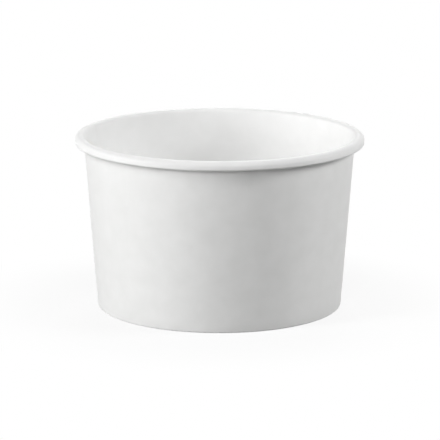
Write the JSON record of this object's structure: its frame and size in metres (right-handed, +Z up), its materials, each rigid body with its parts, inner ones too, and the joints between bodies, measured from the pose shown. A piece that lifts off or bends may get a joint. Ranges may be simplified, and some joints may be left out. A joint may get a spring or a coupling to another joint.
{
  "type": "paper sundae cup",
  "caption": "Round tapered paperboard cup for a sundae, with an outward-rolled rim, a lapped side seam and a recessed base.",
  "frame": {"origin": "on the table, at the middle of the ring that the cup stands on", "axes": "+Z up along the cup's axis, out of its mouth; the side seam's lap starts 160 degrees counter-clockwise from +X, seen from above"},
  "size_m": [0.0956, 0.0956, 0.0573],
  "materials": {
    "wall_board": "white paperboard with a satin coating",
    "base_board": "white paperboard with a satin coating"
  },
  "bodies": {
    "root": {"sidewall": "wall_board", "base_disc": "base_board"}
  },
  "joints": []
}
